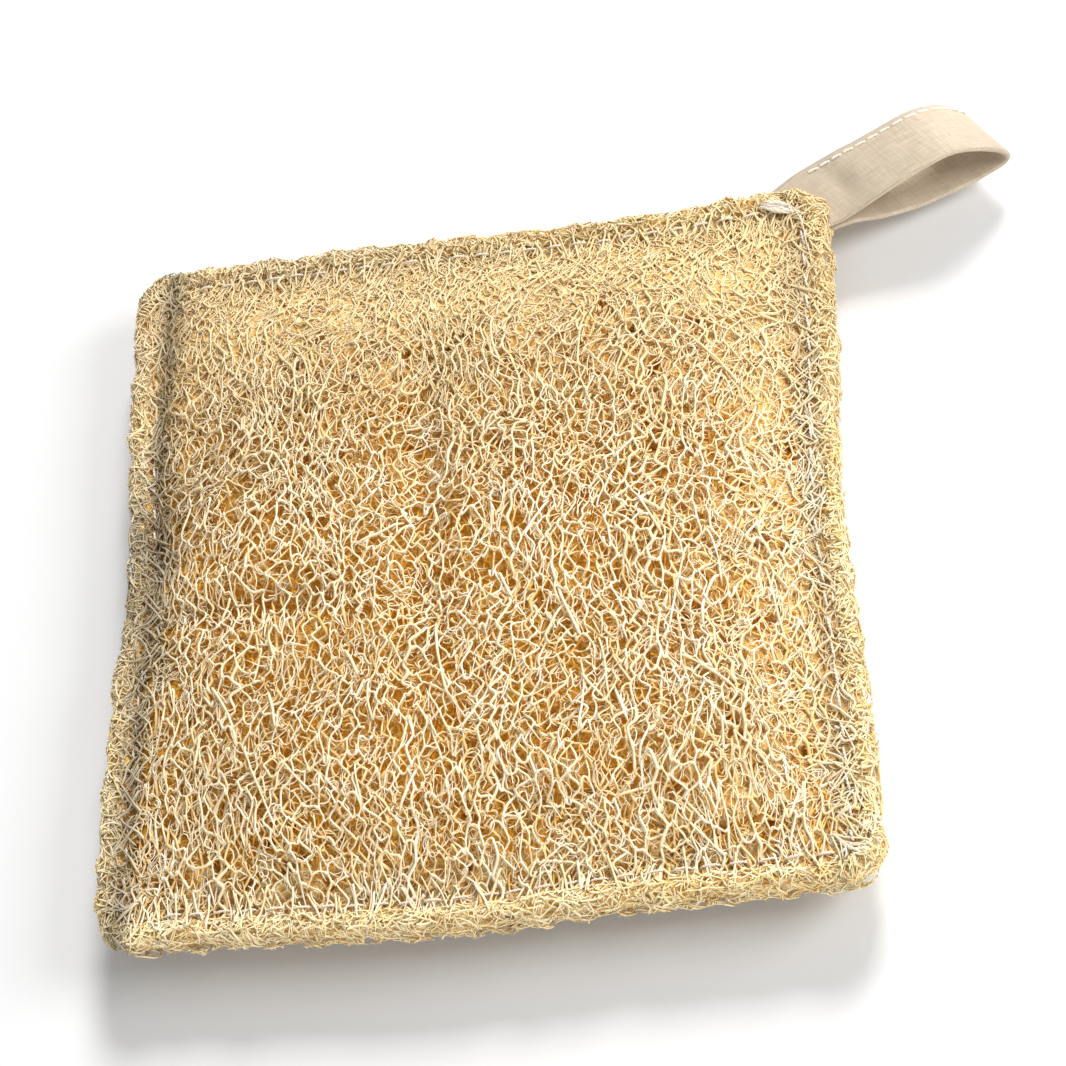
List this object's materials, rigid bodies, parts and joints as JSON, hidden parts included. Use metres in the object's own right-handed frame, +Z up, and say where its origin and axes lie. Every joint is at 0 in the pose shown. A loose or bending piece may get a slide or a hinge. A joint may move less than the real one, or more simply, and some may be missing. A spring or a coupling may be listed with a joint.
{
  "type": "loofah scrubbing pad",
  "caption": "Square pad of two layers of flattened loofah sponge, sewn together near the rim, with a folded cloth hanging loop at one corner.",
  "frame": {"origin": "middle of the underside's flat spot, on the surface that the pad rests on", "axes": "+Z up through the pad, +X toward the side that the loop points past, +Y along the strands toward the loop's end of the pad"},
  "size_m": [0.1652, 0.1493, 0.018],
  "materials": {
    "loofah_fibre": "dry cream to golden plant fibre, matt with a slight sheen on each strand",
    "cotton_tape": "plain-weave cotton and linen cloth, beige grey, matt",
    "seam_thread": "twisted sewing thread, pale grey white, matt",
    "topstitch_thread": "twisted sewing thread, cream, matt"
  },
  "bodies": {
    "root": {"loofah_top_layer": "loofah_fibre", "loofah_bottom_layer": "loofah_fibre", "hang_loop_tape": "cotton_tape", "seam_needle_thread": "seam_thread", "seam_bobbin_thread": "seam_thread", "loop_topstitch_thread": "topstitch_thread"}
  },
  "joints": []
}
